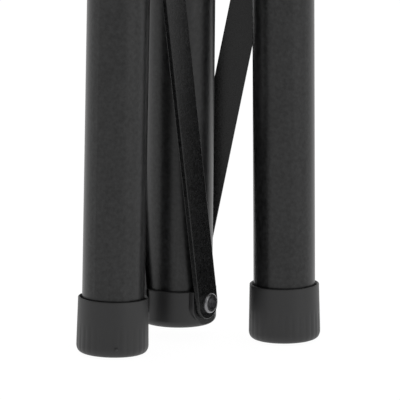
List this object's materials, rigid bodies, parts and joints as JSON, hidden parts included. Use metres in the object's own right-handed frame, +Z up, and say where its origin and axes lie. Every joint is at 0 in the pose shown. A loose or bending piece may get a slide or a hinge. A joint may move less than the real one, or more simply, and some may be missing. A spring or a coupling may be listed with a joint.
{
  "type": "folding tripod stand with swivel seat",
  "caption": "Folding tripod hunting stand: tube legs with foot caps, strip struts riveted to a centre post, sliding leg hub and a padded swivel seat.",
  "frame": {"origin": "on the centre post's axis at floor level, stand folded", "axes": "+Z up along the post, +X towards arm 1; arms 2 and 3 at 120 and 240 degrees"},
  "size_m": [0.34, 0.34, 0.6487],
  "materials": {
    "black_powder_coat": "satin black powder coat, fine texture",
    "strut_paint": "satin black paint on strip",
    "black_plastic": "moulded black plastic, semi-matt",
    "black_rubber": "moulded black foot cap",
    "rivet_steel": "dark zinc plated",
    "zinc_steel": "zinc plated",
    "brass_insert": "plain",
    "nylon": "dark nylon",
    "plywood": "bare plywood",
    "seat_fabric": "woven polyester cover over foam"
  },
  "bodies": {
    "head": {"leg_hub": "black_plastic", "stem_screws": "zinc_steel", "leg_pivot_bolts": "zinc_steel", "leg_pivot_nuts": "zinc_steel", "clamp_insert": "brass_insert", "seat_stem": "black_powder_coat", "stem_plug": "nylon", "swivel_neck": "black_powder_coat", "swivel_base": "black_powder_coat", "bearing_balls": "zinc_steel", "kingpin": "zinc_steel", "kingpin_nut": "zinc_steel"},
    "post": {"centre_post": "black_powder_coat", "lower_hub": "black_plastic", "lower_rivets": "rivet_steel", "post_guide": "nylon"},
    "clamp": {"clamp_stud": "zinc_steel", "clamp_knob": "black_plastic"},
    "seat": {"swivel_top": "black_powder_coat", "seat_screws": "zinc_steel", "seat_board": "plywood", "seat_cushion": "seat_fabric"},
    "leg_1": {"leg_tube_1": "black_powder_coat", "leg_plug_1": "nylon", "foot_cap_1": "black_rubber", "strut_spacer_1": "nylon"},
    "strut_1": {"strut_1": "strut_paint", "upper_rivet_1": "rivet_steel"},
    "leg_2": {"leg_tube_2": "black_powder_coat", "leg_plug_2": "nylon", "foot_cap_2": "black_rubber", "strut_spacer_2": "nylon"},
    "strut_2": {"strut_2": "strut_paint", "upper_rivet_2": "rivet_steel"},
    "leg_3": {"leg_tube_3": "black_powder_coat", "leg_plug_3": "nylon", "foot_cap_3": "black_rubber", "strut_spacer_3": "nylon"},
    "strut_3": {"strut_3": "strut_paint", "upper_rivet_3": "rivet_steel"}
  },
  "joints": [
    {"name": "post_slide", "type": "slide", "parent": "head", "child": "post", "axis": [0, 0, 1], "range_m": [0, 0.11072]},
    {"name": "leg_1_fold", "type": "hinge", "parent": "head", "child": "leg_1", "pos_m": [0.0375, 0, 0.42914], "axis": [0, -1, 0], "range_deg": [0, 35.08]},
    {"name": "strut_1_fold", "type": "hinge", "parent": "post", "child": "strut_1", "pos_m": [0.002, 0.01625, 0.0161], "axis": [0, 1, 0], "range_deg": [0, 39.34]},
    {"name": "leg_2_fold", "type": "hinge", "parent": "head", "child": "leg_2", "pos_m": [-0.01875, 0.03248, 0.42914], "axis": [0.866, 0.5, 0], "range_deg": [0, 35.08]},
    {"name": "strut_2_fold", "type": "hinge", "parent": "post", "child": "strut_2", "pos_m": [-0.01507, -0.00639, 0.0161], "axis": [-0.866, -0.5, 0], "range_deg": [0, 39.34]},
    {"name": "leg_3_fold", "type": "hinge", "parent": "head", "child": "leg_3", "pos_m": [-0.01875, -0.03248, 0.42914], "axis": [-0.866, 0.5, 0], "range_deg": [0, 35.08]},
    {"name": "strut_3_fold", "type": "hinge", "parent": "post", "child": "strut_3", "pos_m": [0.01307, -0.00986, 0.0161], "axis": [0.866, -0.5, 0], "range_deg": [0, 39.34]},
    {"name": "clamp_turn", "type": "hinge", "parent": "head", "child": "clamp", "pos_m": [0.015, 0.02598, 0.39714], "axis": [0.5, 0.866, 0], "range_deg": [0, 720]},
    {"name": "seat_swivel", "type": "hinge", "parent": "head", "child": "seat", "pos_m": [0, 0, 0.58], "axis": [0, 0, 1], "continuous": true}
  ],
  "couplings": [
    {"joint": "leg_1_fold", "follows": "post_slide", "rad_per_m": 5.5268},
    {"joint": "strut_1_fold", "follows": "post_slide", "rad_per_m": 6.1977},
    {"joint": "leg_2_fold", "follows": "post_slide", "rad_per_m": 5.5268},
    {"joint": "strut_2_fold", "follows": "post_slide", "rad_per_m": 6.1977},
    {"joint": "leg_3_fold", "follows": "post_slide", "rad_per_m": 5.5268},
    {"joint": "strut_3_fold", "follows": "post_slide", "rad_per_m": 6.1977}
  ]
}
